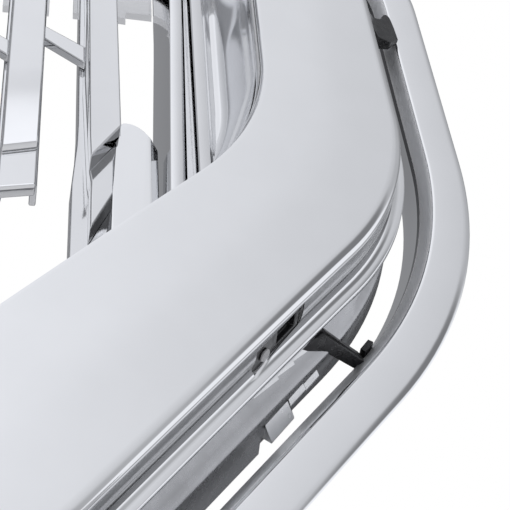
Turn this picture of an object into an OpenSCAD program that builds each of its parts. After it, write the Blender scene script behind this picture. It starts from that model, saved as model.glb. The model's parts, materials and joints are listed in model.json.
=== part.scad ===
// Front grille: chromed surround, rear carrier, hanging vertical bars, closed end
// panels and an outer trim ring held off the surround by black clips.
// The front faces -Y, +Z is up, and the faces follow a large bow in plan view.
// Depths are measured back from the bowed front surface.

/* [Bow] */
// Radius of the bow that the front surfaces follow in plan view
bow_r = 2000; // [1500:100:4000]

/* [Surround] */
// Half width of the opening at the stile
in_half = 275; // [265:1:285]
// Distance of the inner edge of the slanted lower side from the centre
in_slant = 190.5; // [184:0.5:196]
// Height of the opening above the centre
in_top = 182; // [178:1:186]
// Depth of the opening below the centre
in_bot = 135; // [125:1:140]
// Half width of the surround face at the stile
out_half = 338; // [334:1:342]
// Distance of the outer edge of the slanted lower side from the centre
out_slant = 274; // [271:0.5:276]
// Height of the surround above the centre
out_top = 235; // [231:1:239]
// Depth of the surround below the centre
out_bot = 220; // [217:1:223]
// Angle of the inner lower side from vertical
in_ang = 43.3; // [40:0.1:46]
// Angle of the outer lower side from vertical
out_ang = 38.4; // [36:0.1:40]
// Lean of the outer side edge
lean = 2.5; // [0:0.1:4]
// Thickness of the chromed shell
wall = 3; // [2.5:0.1:3.5]
// Depth of the chromed shell
shell_d = 28; // [27:0.5:29]
// How far the lip round the back of the shell stands out
lip_out = 4.6; // [4:0.1:5]

/* [Carrier] */
// Depth at the back of the carrier
carrier_d = 52; // [50:1:54]
// How far the carrier flange stands outside the shell on the lower sides
carrier_out = 8; // [7:0.1:8.5]

/* [Outer trim] */
// Depth of the trim face behind the surround face
trim_s = 44; // [42:1:46]
// Depth of the back of the trim
trim_back = 68; // [66:1:70]
// Distance from the surround edge to the trim face on the slanted side
trim_gap = 19; // [18:0.5:20]
// Width of the trim face at the slanted side
trim_w = 22; // [20:0.5:24]
// Width of the trim face at the stile
trim_w_side = 18.5; // [17:0.5:20]

/* [Bars] */
// Spacing of the vertical bars
pitch = 35; // [34.5:0.1:35.5]
// Width of a bar face
bar_w = 15; // [14:0.5:15.5]
// Depth of the bar face behind the surround face
bar_s = 14; // [12:0.5:15]
// Depth of the lower tier behind the surround face
tier_s = 27; // [26.5:0.5:28]
// Height where the front tier of the last free bar ends
bar_end = 13; // [11:1:15]
// Drop of the lower tier below the front tier
tier_drop = 22; // [20:1:24]

/* [Fixings] */
// Diameter of the bolt holes in the brackets and tabs
bolt_d = 7; // [6:0.5:8]
// Distance from the centre to each upper bracket hole
bracket_x = 230; // [220:1:240]
// Height of the upper bracket holes above the centre
bracket_z = 274; // [272:1:278]
// Diameter of the lower locating pegs
peg_d = 8; // [7:0.5:9]
// Distance from the centre to each lower peg
peg_x = 130; // [120:1:140]

/* [Hidden] */
$fn = 64;
BOW_FN = 720;
STEP_A = 8;                      // angle between the points of a rounded corner
peg_len = 22;
back_flat = 84;                  // plane that the brackets and tabs lie on
peg_end = back_flat + peg_len;   // rearmost point of the part
crown = 2;
bracket_top = bracket_z + 14;
trim_bot = out_bot + 19 + trim_w;
yc = (peg_end - crown) / 2;      // centre of the depth
zc = (bracket_top - trim_bot) / 2;

// A closed outline is a list of sides: [angle of the outward normal, distance, radius of the next corner]
function sides(half, slant, top, bot, ang, ln, rs, rt, rb) = [
  [-90, bot, rb], [-ang, slant, rs], [ln, half, rt],
  [90, top, rt], [180 - ln, half, rs], [180 + ang, slant, rb]];
function meet(p, q, r) =
  let (s = sin(q[0] - p[0]), a = p[1] - r, b = q[1] - r)
  [(a * sin(q[0]) - b * sin(p[0])) / s, (b * cos(p[0]) - a * cos(q[0])) / s];
function turn(a, b) = let (d = b - a) d < 0 ? d + 360 : d;
function outline(L, o) = [for (i = [0:len(L) - 1])
  let (p = L[i], q0 = L[(i + 1) % len(L)], da = turn(p[0], q0[0]),
       q = [p[0] + da, q0[1]], c = meet(p, q, p[2]), n = max(2, ceil(da / STEP_A)))
  for (k = [0:n]) let (t = p[0] + da * k / n)
    [c[0] + (p[2] + o) * cos(t), c[1] + (p[2] + o) * sin(t)]];

L_in = sides(in_half, in_slant, in_top, in_bot, in_ang, 0, 113, 40, 60);
L_out = sides(out_half, out_slant, out_top, out_bot, out_ang, lean, 135, 62, 95);
L_trim_i = sides(out_half + 24, out_slant + trim_gap, out_top + 13, out_bot + 19,
  out_ang, lean, 205, 75, 110);
L_trim_o = sides(out_half + 24 + trim_w_side, out_slant + trim_gap + trim_w, out_top + 13 + 16,
  trim_bot, out_ang, lean, 230, 88, 130);
L_car_i = sides(in_half + 14, in_slant + 12, in_top + 25, in_bot + 14, in_ang, 0, 120, 44, 66);
L_car_o = sides(out_half + 1, out_slant + carrier_out, out_top + 1, out_bot + carrier_out,
  out_ang, lean, 185, 64, 100);
flange_s = 35;                   // depth where the carrier flange starts

module at_row() translate([0, -yc, -zc]) children();
module prism(pts, y0 = -12, y1 = 125)
  translate([0, y1, 0]) rotate([90, 0, 0]) linear_extrude(height = y1 - y0) polygon(pts);
module bowed(s0, s1) intersection() {
  children();
  translate([0, bow_r, -420]) difference() {
    cylinder(r = bow_r - s0, h = 840, $fn = BOW_FN);
    translate([0, 0, -1]) cylinder(r = bow_r - s1, h = 842, $fn = BOW_FN);
  }
}
// Ring between two outlines, between two depths
module ring(Lo, oo, Li, oi, s0, s1) bowed(s0, s1) difference() {
  prism(outline(Lo, oo));
  prism(outline(Li, oi), -13, 126);
}
// Puts a piece drawn on the centre line at a place along the bow
module at_bow(x) translate([0, bow_r, 0]) rotate([0, 0, asin(x / bow_r)])
  translate([0, -bow_r, 0]) children();
// A plate with a front-view shape, between two depths
module plate(pts, s0, s1)
  translate([0, s1, 0]) rotate([90, 0, 0]) linear_extrude(height = s1 - s0) polygon(pts);
module box(x0, x1, s0, s1, z0, z1) translate([x0, s0, z0]) cube([x1 - x0, s1 - s0, z1 - z0]);
module flip(side) if (side > 0) children(); else mirror([1, 0, 0]) children();
// A block on the slanted lower side: across d, along u, depth s
module on_slant(d, u) let (x = d * cos(out_ang) + u * sin(out_ang),
    z = -d * sin(out_ang) + u * cos(out_ang), b = bow_r - sqrt(bow_r * bow_r - x * x))
  translate([x, b, z]) rotate([0, out_ang, 0]) children();

// Front shell ---------------------------------------------------------------
module main_surround() color("gainsboro") at_row() difference() {
  union() {
    ring(L_out, -16, L_in, 16, -crown, -crown / 2);
    ring(L_out, -8, L_in, 8, -crown / 2, 0);
    ring(L_out, -3, L_in, 3, 0, 2);
    ring(L_out, 0, L_in, 0, 2, 13);
    ring(L_out, -1.2, L_in, 0, 13, 20.5);
    ring(L_out, lip_out, L_in, 0, 20.5, 24.3);
    ring(L_out, 0, L_in, 0, 24.3, shell_d);
  }
  ring(L_out, -wall - 3, L_in, wall + 3, 2.2, 5);
  ring(L_out, -wall - 2, L_in, wall, 4.9, shell_d + 3);
  // windows for the clip bodies in the lower slanted wall
  for (m = [-1, 1]) flip(m) on_slant(out_slant, 97) box(-9, 4, 5.5, 19, -16, 16);
}

// Rear carrier --------------------------------------------------------------
module surround_carrier() color("silver") at_row() {
  difference() {
    union() {
      ring(L_out, -1, L_car_i, 0, shell_d, flange_s);
      ring(L_car_o, 0, L_car_i, 0, flange_s, carrier_d);
    }
    ring(L_out, -1 - wall, L_car_i, wall, shell_d + 4, flange_s + wall);
    ring(L_car_o, -wall, L_car_i, wall, flange_s + wall, carrier_d + 3);
    for (a = screw_spots) at_bow(a[0]) translate([0, shell_d - 1, a[1]]) rotate([-90, 0, 0]) cylinder(d = 4.4, h = 8);
    for (m = [-1, 1]) flip(m) slant_arm(0.4);
  }
  // skirt that makes the lower slanted wall deeper
  for (m = [-1, 1]) flip(m) intersection() {
    ring(L_car_o, 0, L_car_o, -wall, carrier_d - 2, carrier_d + 7);
    on_slant(out_slant, 0) box(-20, 20, 0, 120, -18, 80);
  }
  // sloped gussets on the outside of the slanted wall
  for (m = [-1, 1], g = [[80, 96, 12, 51], [96, 107, 9.6, 45], [107, 117, 9.6, 45]]) flip(m)
    on_slant(out_slant, (g[0] + g[1]) / 2) translate([0, 0, (g[0] - g[1]) / 2]) linear_extrude(height = g[1] - g[0])
      polygon([[-1.5, 30], [1, 30], [g[2], g[3] - 1], [g[2], g[3]], [5.5, g[3]], [5.5, 37], [-1.5, 34]]);
  // solid pads that the brackets, tabs and pegs stand on
  for (m = [-1, 1]) {
    flip(m) pad(bracket_x, 222, 30, 12);
    flip(m) pad(300, 60, 12, 34);
    flip(m) pad(peg_x, -190, 26, 20);
  }
}
module pad(x, z, w, h) difference() {
  box(x - w / 2, x + w / 2, 34, back_flat, z - h / 2, z + h / 2);
  translate([0, bow_r, -420]) difference() {
    translate([-900, -bow_r - 50, 0]) cube([1800, bow_r, 840]);
    translate([0, 0, -1]) cylinder(r = bow_r - shell_d - 2, h = 842, $fn = BOW_FN);
  }
}
screw_spots = [[-170, 222], [-60, 222], [60, 222], [170, 222], [-312, 100], [312, 100],
  [-80, -188], [80, -188], [-235, -92], [235, -92]];

// Outer trim ring -----------------------------------------------------------
module outer_trim() color("whitesmoke") at_row() difference() {
  union() {
    ring(L_trim_o, -6, L_trim_i, 6, trim_s - 1.5, trim_s - 0.5);
    ring(L_trim_o, -2.5, L_trim_i, 2, trim_s - 0.5, trim_s + 1);
    ring(L_trim_o, 0, L_trim_i, -2, trim_s + 1, trim_s + 5);
    ring(L_trim_o, -2.5, L_trim_i, -4, trim_s + 5, trim_s + 11);
    ring(L_trim_o, -6, L_trim_i, -6.5, trim_s + 11, trim_s + 17);
    ring(L_trim_o, -9.5, L_trim_i, -9, trim_s + 17, trim_back);
  }
  ring(L_trim_o, -6, L_trim_i, 0, trim_s + 4, trim_s + 12);
  ring(L_trim_o, -9.5, L_trim_i, -3, trim_s + 11, trim_s + 18);
  ring(L_trim_o, -12.5, L_trim_i, -5.5, trim_s + 17, trim_back + 3);
}

// Closed end panels with two standing ribs ----------------------------------
panel_front = [[231, 45], [237.2, 15], [238.2, 14], [242.6, 14], [244.2, 17.5], [244.6, 31], [247, 31],
  [247.4, 15.2], [248.4, 14], [252.4, 14], [254.6, 18], [256, 31.5], [262, 33.5], [269, 30], [275, 20]];
panel_back = [[275, 23.5], [270, 33.2], [262, 37], [255, 37], [252.5, 34], [251.4, 20], [250.2, 18], [250, 34],
  [241.6, 34], [241.2, 20], [239.8, 18], [234, 45]];
module panel() intersection() {
  translate([0, 0, -120]) linear_extrude(height = 310) polygon([for (p = concat(panel_front, panel_back))
    [p[0], p[1] + bow_r - sqrt(bow_r * bow_r - p[0] * p[0])]]);
  prism(outline(L_in, 0));
}
module side_panel_right() color("silver") at_row() panel();
module side_panel_left() color("silver") at_row() mirror([1, 0, 0]) panel();
module tongue() intersection() {
  union() {
    at_bow(222.5) plate([[-9.6, -70], [7.8, -70], [7.8, 21.2], [6.4, 23.6], [4, 26.5], [1, 28.6], [-1, 29.3],
      [-2.8, 29.5], [-4.8, 28.7], [-5.2, 26], [-5.2, 21], [-6.9, 17]], 20, 23);
    at_bow(222.5) linear_extrude_bevel();
  }
  prism(outline(L_in, 0));
}
module linear_extrude_bevel() translate([0, 0, -70])
  linear_extrude(height = 89) polygon([[7.8, 20], [11.7, 25], [11.7, 30], [9.2, 30], [7.8, 23]]);
module panel_tongue_right() color("whitesmoke") at_row() tongue();
module panel_tongue_left() color("whitesmoke") at_row() mirror([1, 0, 0]) tongue();

// Vertical bars -------------------------------------------------------------
// Height where the front tier of a bar ends
function end_z(x) = abs(x) > 5.5 * pitch ? bar_end - 2.7 : bar_end - 38 * (1 - abs(x) / (5 * pitch));
// A depth and height shape, drawn across the width of a bar
module across(pts, x0, x1) translate([x0, 0, 0]) rotate([90, 0, 90]) linear_extrude(height = x1 - x0) polygon(pts);
module bar(k) {
  x = (k - 7) * pitch;
  at_bow(x) flip(x < 0 ? -1 : 1) difference() {
    if (abs(x) > 5.5 * pitch) end_bar(end_z(x)); else free_bar(bar_w / 2, end_z(x), abs(x) < 1 ? 0 : 2.2);
    // screw hole at the top
    translate([0, 30, in_top + 8]) rotate([-90, 0, 0]) cylinder(d = 3.2, h = 16);
  }
}
module free_bar(w, z1, sl) let (z2 = z1 - tier_drop) difference() {
  union() {
    intersection() {
      across([[bar_s, in_top], [bar_s, z1 + 41], [bar_s + 0.8, z1 + 35], [bar_s + 3.2, z1 + 24], [bar_s + 6.8, z1 + 11],
        [bar_s + 9.6, z1 + 3], [tier_s, z1 - 5], [tier_s, in_top]], -w, w);
      plate([[-w, z1 - sl], [w, z1 + sl], [w, in_top], [-w, in_top]], bar_s, tier_s);
    }
    plate([[-w - 0.7, z2 - sl * 0.8], [w, z2 + sl * 0.8], [w, in_top], [-w - 0.7, in_top]], tier_s, 33);
    plate([[-w - 2.2, z2 + 8], [w + 0.8, z2 + 8], [w + 0.8, in_top + 18], [-w - 2.2, in_top + 18]], 33, 45);
  }
  // channel open at the back
  box(-w + 2.2, w - 2.2, tier_s + 2.5, 46, z2 + 14, in_top - 8);
}
// The last bar on each side is cut on the slant, and its foot ends on the inside of the slanted side
module end_bar(z1) difference() {
  union() {
    plate([[-5.7, z1 - 10.4], [6.9, z1 + 10.4], [5.1, 110], [3.6, in_top], [-9.2, in_top], [-7.9, 107], [-6.4, 19]], bar_s, 23);
    plate([[-4.7, -34], [4.9, -11.5], [4.9, 8], [6.9, 16], [5.1, 110], [3.6, in_top], [-9.9, in_top], [-8.25, 112], [-8.25, 60],
      [-6.4, 19], [-5.5, 0], [-4.7, -6]], 23, 33);
    intersection() {
      plate([[-12.2, -75], [7.7, -75], [7.7, 8], [6, in_top + 18], [-11.5, in_top + 18], [-10, 41], [-10.6, 24], [-12, 8]], 33, 45);
      rotate([0, 0, -asin(6 * pitch / bow_r)]) translate([-6 * pitch, -(bow_r - sqrt(bow_r * bow_r - 36 * pitch * pitch)), 0]) union() {
        prism(outline(L_in, 0), -40, 160);
        box(-300, 300, -40, 160, 0, 201);
      }
    }
  }
  box(-4, 3, 25.5, 46, -24, in_top - 8);
}
module chrome_bar(k) color("whitesmoke") at_row() bar(k);
module bar_01() chrome_bar(1);
module bar_02() chrome_bar(2);
module bar_03() chrome_bar(3);
module bar_04() chrome_bar(4);
module bar_05() chrome_bar(5);
module bar_06() chrome_bar(6);
module bar_07() chrome_bar(7);
module bar_08() chrome_bar(8);
module bar_09() chrome_bar(9);
module bar_10() chrome_bar(10);
module bar_11() chrome_bar(11);
module bar_12() chrome_bar(12);
module bar_13() chrome_bar(13);

// Diagonal links between neighbouring bars, falling outwards
module bar_links() color("silver") at_row() for (m = [-1, 1], k = [0:5]) flip(m)
  at_bow((k + 0.5) * pitch) {
    g = pitch / 2 - bar_w / 2;
    plate([[-g, 103.5], [-g, 93.5], [g - 0.75, 78.5], [g - 0.75, 90]], 28, 32.9);
  }

// Strip across the backs of the bars, cut away between them
module bar_tie_rail() color("silver") at_row() bowed(45, 49) difference() {
  box(-231, 231, -12, 125, 138, 165);
  for (m = [-1, 1], k = [0:5]) flip(m) at_bow((k + 0.5) * pitch) box(-7.5, 4.3, 30, 70, 130, 157);
  for (m = [-1, 1]) flip(m) box(218, 240, -12, 125, 130, 143);
}

// Strip behind the tops of the bars
module top_support_rail() color("dimgray") at_row() difference() {
  bowed(45, carrier_d) intersection() {
    prism(outline(L_car_i, 0));
    difference() {
      box(-236, 236, -12, 125, in_top - 5, in_top + 60);
      for (k = [-6:5]) at_bow((k + 0.5) * pitch) box(-6.2, 6.2, 40, 60, in_top - 20, in_top + 1);
    }
  }
  for (k = [-6:6]) at_bow(k * pitch) translate([0, 40, in_top + 8]) rotate([-90, 0, 0]) cylinder(d = 3.2, h = 20);
}
// Screws ---------------------------------------------------------------------
module pan_screw(d, l, hd, hh) {
  cylinder(d = d, h = l);
  translate([0, 0, l]) difference() {
    cylinder(d = hd, h = hh);
    translate([0, 0, hh - 1.2]) { cube([hd * 0.6, 0.9, 3], center = true); cube([0.9, hd * 0.6, 3], center = true); }
  }
}
module bar_screws() color("darkgray") at_row() for (k = [-6:6]) at_bow(k * pitch)
  translate([0, 36, in_top + 8]) rotate([-90, 0, 0]) pan_screw(3.2, carrier_d - 36, 6.5, 2.2);
module carrier_screws() color("darkgray") at_row() for (a = screw_spots) at_bow(a[0])
  translate([0, shell_d, a[1]]) rotate([-90, 0, 0]) pan_screw(4.4, 4, 8, 2.6);

// Clips between the carrier and the trim ------------------------------------
// Hooked arm: reaches across the gap g and grips the trim flange
module clip_arm(g, w) translate([0, 0, -w / 2]) {
  linear_extrude(height = w) polygon([[-1, 29.5], [g - 1, 29.5], [g, 31], [g, trim_s + 7], [g - 1.5, trim_s + 9],
    [g - 4, trim_s + 9], [g - 4, trim_s + 6.5], [g - 2.5, trim_s + 5.5], [g - 2.5, 34.9], [-1, 34.9]]);
}
// Oblique arm rooted in a slot of the carrier, e is the clearance round it
module slant_arm(e) on_slant(out_slant, 117) rotate([0, -60, 0]) translate([0, 0, -3 - e]) linear_extrude(height = 6 + 2 * e)
  polygon([[-6, 29.6 - e], [0, 28.7 - e], [1, 25.7 - e * 0.7], [8, 26.4 - e * 0.7], [30, 53 - e], [34, 58 - e], [34, 64 + e], [30, 59.6 + e], [8, 36 + e], [-6, 34.3 + e]]);
module trim_clips_slanted() color("#202020") at_row() for (m = [-1, 1]) flip(m) {
  bowed(20, trim_s + 11) intersection() {
    slant_arm(0);
    prism(outline(L_trim_i, -4));
  }
  intersection() {
    ring(L_trim_i, -4, L_trim_i, -6.8, trim_s + 2, trim_s + 10);
    on_slant(out_slant, 0) box(-20, 40, 0, 120, 140.5, 152.5);
  }
}
side_z = [152];
module trim_clips_side() color("#202020") at_row() for (m = [-1, 1], z = side_z) flip(m) side_clip(z);
module side_clip(z) let (x = out_half / cos(lean) - z * tan(lean), g = 20) at_bow(x) translate([0, 0, z]) rotate([0, -lean, 0]) intersection() {
  translate([0, 0, -20]) linear_extrude(height = 40) polygon([[-1, 29.5], [g - 5, 29.5], [g, 35], [g + 6.5, 40.3], [g + 6.5, 42.8],
    [g + 1.4, 42.8], [g, 45], [g, trim_s + 7], [g - 1.5, trim_s + 9], [g - 4, trim_s + 9], [g - 4, trim_s + 6.5], [g - 2.5, trim_s + 5.5],
    [g - 2.5, 38], [g - 5, 34.9], [-1, 34.9]]);
  plate([[-2, -9], [14.8, -13.9], [21.2, -13], [27.1, -6.6], [26.5, 2.5], [25.6, 10.7], [23.3, 11.8], [18.7, 4.5], [14, 1], [-2, 1]], 20, 60);
}
module trim_clips_bottom() color("#202020") at_row() for (x = [-90, 0, 90]) at_bow(x)
  translate([0, 0, -out_bot]) rotate([0, 90, 0]) clip_arm(19 - 4, 20);
module trim_clips_top() color("#202020") at_row() for (x = [-180, 0, 180]) at_bow(x)
  translate([0, 0, out_top]) rotate([0, -90, 0]) clip_arm(13 - 4, 20);
// Clip bodies set in the windows of the shell
module clip_bodies() color("#202020") at_row() for (m = [-1, 1]) flip(m)
  on_slant(out_slant, 97) difference() {
    box(-8.5, -1.6, 5.5, 19, -16, 16);
    box(-4, 0, 8, 17, 1, 13);
    translate([-6, 15, -8]) rotate([0, 90, 0]) cylinder(d = 4, h = 10);
  }
module clip_rivets() color("lightgray") at_row() for (m = [-1, 1]) flip(m)
  on_slant(out_slant, 97) translate([-6, 15, -8]) rotate([0, 90, 0]) {
    cylinder(d = 4, h = 4.8);
    translate([0, 0, 4.8]) cylinder(d = 5.6, h = 1);
  }

// Mounting hardware ----------------------------------------------------------
module bracket() difference() {
  union() {
    box(bracket_x - 17, bracket_x + 17, back_flat, back_flat + 2, 215, bracket_top - 12);
    translate([bracket_x, back_flat, bracket_z]) rotate([-90, 0, 0]) cylinder(r = 14, h = 2);
  }
  translate([bracket_x, back_flat - 1, bracket_z]) rotate([-90, 0, 0]) cylinder(d = bolt_d, h = 4);
  for (q = [-8, 8]) translate([bracket_x + q, back_flat - 1, 222]) rotate([-90, 0, 0]) cylinder(d = 4.2, h = 4);
}
module upper_bracket_right() color("silver") at_row() bracket();
module upper_bracket_left() color("silver") at_row() mirror([1, 0, 0]) bracket();
module bracket_rivets() color("darkgray") at_row() for (m = [-1, 1]) flip(m) for (q = [-8, 8])
  translate([bracket_x + q, back_flat, 222]) rotate([-90, 0, 0]) { cylinder(d = 4.2, h = 2); translate([0, 0, 2]) cylinder(d = 7, h = 1.4); }
module tab() difference() {
  union() {
    box(306, 340, back_flat, back_flat + 3, 48, 72);
    box(294, 307, back_flat, back_flat + 3, 44, 76);
  }
  translate([328, back_flat - 1, 60]) rotate([-90, 0, 0]) cylinder(d = bolt_d, h = 5);
}
module side_tab_right() color("dimgray") at_row() tab();
module side_tab_left() color("dimgray") at_row() mirror([1, 0, 0]) tab();
module peg() translate([peg_x, back_flat, -190]) rotate([-90, 0, 0]) {
  cylinder(d = 20, h = 3);
  cylinder(d = peg_d, h = peg_len);
}
module lower_peg_right() color("dimgray") at_row() peg();
module lower_peg_left() color("dimgray") at_row() mirror([1, 0, 0]) peg();

main_surround();
surround_carrier();
outer_trim();
side_panel_left();
side_panel_right();
panel_tongue_left();
panel_tongue_right();
bar_01();
bar_02();
bar_03();
bar_04();
bar_05();
bar_06();
bar_07();
bar_08();
bar_09();
bar_10();
bar_11();
bar_12();
bar_13();
bar_links();
bar_tie_rail();
top_support_rail();
bar_screws();
carrier_screws();
trim_clips_side();
trim_clips_slanted();
trim_clips_bottom();
trim_clips_top();
clip_bodies();
clip_rivets();
upper_bracket_left();
upper_bracket_right();
bracket_rivets();
side_tab_left();
side_tab_right();
lower_peg_left();
lower_peg_right();
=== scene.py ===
import bpy, bmesh, json, math
from mathutils import Matrix, Vector

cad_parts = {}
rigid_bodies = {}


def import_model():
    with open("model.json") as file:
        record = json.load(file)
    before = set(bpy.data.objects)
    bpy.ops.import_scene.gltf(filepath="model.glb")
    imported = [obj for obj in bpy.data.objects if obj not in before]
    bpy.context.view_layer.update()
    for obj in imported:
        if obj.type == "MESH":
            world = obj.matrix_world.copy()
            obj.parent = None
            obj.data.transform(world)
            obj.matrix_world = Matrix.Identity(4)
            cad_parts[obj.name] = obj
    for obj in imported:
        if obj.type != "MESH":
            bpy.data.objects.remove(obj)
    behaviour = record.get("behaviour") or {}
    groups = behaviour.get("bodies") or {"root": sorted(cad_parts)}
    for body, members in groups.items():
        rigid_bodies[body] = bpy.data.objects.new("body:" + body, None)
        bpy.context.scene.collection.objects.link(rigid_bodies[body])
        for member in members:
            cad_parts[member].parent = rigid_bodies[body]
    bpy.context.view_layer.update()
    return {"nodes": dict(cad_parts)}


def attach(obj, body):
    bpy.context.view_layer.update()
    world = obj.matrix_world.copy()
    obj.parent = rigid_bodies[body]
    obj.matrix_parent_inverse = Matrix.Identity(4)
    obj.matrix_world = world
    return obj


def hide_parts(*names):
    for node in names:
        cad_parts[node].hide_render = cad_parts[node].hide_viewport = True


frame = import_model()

# ---------------------------------------------------------------- dimensions (mm, as in the CAD)
BOW = 2000.0
YC, ZC = 52.0, 13.5
IN_HALF, IN_SLANT, IN_TOP, IN_BOT, IN_ANG = 275.0, 190.5, 182.0, 135.0, 43.3
OUT_HALF, OUT_SLANT, OUT_TOP, OUT_BOT, OUT_ANG, LEAN = 338.0, 274.0, 235.0, 220.0, 38.4, 2.5
SHELL_D, CAR_D, CAR_OUT, FLANGE_S = 28.0, 52.0, 8.0, 35.0
TRIM_S, TRIM_BACK, TRIM_GAP, TRIM_W, TRIM_WS = 44.0, 68.0, 19.0, 22.0, 18.5
PITCH, BAR_W, BAR_S, TIER_S, BAR_END, TIER_DROP = 35.0, 15.0, 14.0, 27.0, 13.0, 22.0
S = 0.001


def sides(half, slant, top, bot, ang, ln, rs, rt, rb):
    return [(-90, bot, rb), (-ang, slant, rs), (ln, half, rt), (90, top, rt), (180 - ln, half, rs), (180 + ang, slant, rb)]


L_IN = sides(IN_HALF, IN_SLANT, IN_TOP, IN_BOT, IN_ANG, 0, 113, 40, 60)
L_OUT = sides(OUT_HALF, OUT_SLANT, OUT_TOP, OUT_BOT, OUT_ANG, LEAN, 135, 62, 95)
L_TI = sides(OUT_HALF + 24, OUT_SLANT + TRIM_GAP, OUT_TOP + 13, OUT_BOT + 19, OUT_ANG, LEAN, 205, 75, 110)
L_TO = sides(OUT_HALF + 24 + TRIM_WS, OUT_SLANT + TRIM_GAP + TRIM_W, OUT_TOP + 29, OUT_BOT + 19 + TRIM_W, OUT_ANG, LEAN, 230, 88, 130)
L_CI = sides(IN_HALF + 14, IN_SLANT + 12, IN_TOP + 25, IN_BOT + 14, IN_ANG, 0, 120, 44, 66)
L_CO = sides(OUT_HALF + 1, OUT_SLANT + CAR_OUT, OUT_TOP + 1, OUT_BOT + CAR_OUT, OUT_ANG, LEAN, 185, 64, 100)


def meet(p, q, r):
    s = math.sin(math.radians(q[0] - p[0]))
    a, b = p[1] - r, q[1] - r
    S_, C_ = (lambda t: math.sin(math.radians(t))), (lambda t: math.cos(math.radians(t)))
    return ((a * S_(q[0]) - b * S_(p[0])) / s, (b * C_(p[0]) - a * C_(q[0])) / s)


def stations(L, n_arc=20, n_line=22):
    """Points and outward normals round an outline: each corner's arc, then the side after it."""
    arcs = []
    for i in range(6):
        p, q = L[i], L[(i + 1) % 6]
        da = (q[0] - p[0]) % 360
        c = meet(p, (p[0] + da, q[1]), p[2])
        arcs.append([(c, p[2], math.radians(p[0] + da * k / n_arc)) for k in range(n_arc + 1)])
    out = []
    for i in range(6):
        for c, r, t in arcs[i]:
            n = (math.cos(t), math.sin(t))
            out.append((c[0] + r * n[0], c[1] + r * n[1], n[0], n[1]))
        a, b = out[-1], arcs[(i + 1) % 6][0]
        bx, bz = b[0][0] + b[1] * math.cos(b[2]), b[0][1] + b[1] * math.sin(b[2])
        for k in range(1, n_line):
            u = k / n_line
            out.append((a[0] + (bx - a[0]) * u, a[1] + (bz - a[1]) * u, a[2], a[3]))
    return out


def bow(x):
    return BOW - math.sqrt(BOW * BOW - x * x)


def W(x, s, z):
    """Front-view place and depth behind the bowed surface, to metres in the frame."""
    return Vector((x * S, (bow(x) + s - YC) * S, (z - ZC) * S))


def at_bow(x):
    """Matrix from a piece drawn on the centre line (mm) to its place along the bow (m)."""
    m = Matrix.Translation((0, BOW, 0)) @ Matrix.Rotation(math.asin(x / BOW), 4, "Z") @ Matrix.Translation((0, -BOW, 0))
    return Matrix.Scale(S, 4) @ Matrix.Translation((0, -YC, -ZC)) @ m


def on_slant(d, u):
    a = math.radians(OUT_ANG)
    x, z = d * math.cos(a) + u * math.sin(a), -d * math.sin(a) + u * math.cos(a)
    return Matrix.Scale(S, 4) @ Matrix.Translation((x, bow(x) - YC, z - ZC)) @ Matrix.Rotation(a, 4, "Y")


FLIP = Matrix.Scale(-1, 4, (1, 0, 0))
FLIP_MM = FLIP.copy()

# ---------------------------------------------------------------- materials


def new_mat(name):
    m = bpy.data.materials.new(name)
    m.use_nodes = True
    nt = m.node_tree
    b = nt.nodes["Principled BSDF"]
    return m, nt, b


def add_noise(nt, scale, detail=3.0, rough=0.5):
    tc = nt.nodes.new("ShaderNodeTexCoord")
    n = nt.nodes.new("ShaderNodeTexNoise")
    n.inputs["Scale"].default_value = scale
    n.inputs["Detail"].default_value = detail
    n.inputs["Roughness"].default_value = rough
    nt.links.new(tc.outputs["Object"], n.inputs["Vector"])
    return n


def ramp(nt, src, lo, hi, c0, c1):
    r = nt.nodes.new("ShaderNodeValToRGB")
    r.color_ramp.elements[0].position = lo
    r.color_ramp.elements[1].position = hi
    r.color_ramp.elements[0].color = c0
    r.color_ramp.elements[1].color = c1
    nt.links.new(src, r.inputs["Fac"])
    return r


def maprange(nt, src, a, b, c, d):
    r = nt.nodes.new("ShaderNodeMapRange")
    for k, v in (("From Min", a), ("From Max", b), ("To Min", c), ("To Max", d)):
        r.inputs[k].default_value = v
    nt.links.new(src, r.inputs["Value"])
    return r


def chrome(name, base=(0.885, 0.89, 0.90), dark=(0.865, 0.87, 0.88), r0=0.035, r1=0.075, bump=0.004):
    m, nt, b = new_mat(name)
    b.inputs["Metallic"].default_value = 1.0
    n1 = add_noise(nt, 38.0, 4.0)
    col = ramp(nt, n1.outputs["Fac"], 0.35, 0.7, (*dark, 1), (*base, 1))
    # Convex edges (found by Pointiness) are lifted to a brighter colour: a painted highlight along every chrome edge.
    geo = nt.nodes.new("ShaderNodeNewGeometry")
    edge = maprange(nt, geo.outputs["Pointiness"], 0.52, 0.60, 0.0, 1.0)
    edge_highlight_mix = nt.nodes.new("ShaderNodeMix")
    edge_highlight_mix.data_type = "RGBA"
    edge_highlight_mix.inputs[7].default_value = (min(1, base[0] * 1.1), min(1, base[1] * 1.1), min(1, base[2] * 1.1), 1)
    nt.links.new(edge.outputs[0], edge_highlight_mix.inputs[0])
    nt.links.new(col.outputs["Color"], edge_highlight_mix.inputs[6])
    nt.links.new(edge_highlight_mix.outputs[2], b.inputs["Base Color"])
    n2 = add_noise(nt, 210.0, 5.0, 0.6)
    ro = maprange(nt, n2.outputs["Fac"], 0.3, 0.75, r0, r1)
    nt.links.new(ro.outputs[0], b.inputs["Roughness"])
    n3 = add_noise(nt, 900.0, 2.0)
    bp = nt.nodes.new("ShaderNodeBump")
    bp.inputs["Strength"].default_value = bump
    bp.inputs["Distance"].default_value = 0.001
    nt.links.new(n3.outputs["Fac"], bp.inputs["Height"])
    nt.links.new(bp.outputs["Normal"], b.inputs["Normal"])
    return m


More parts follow.
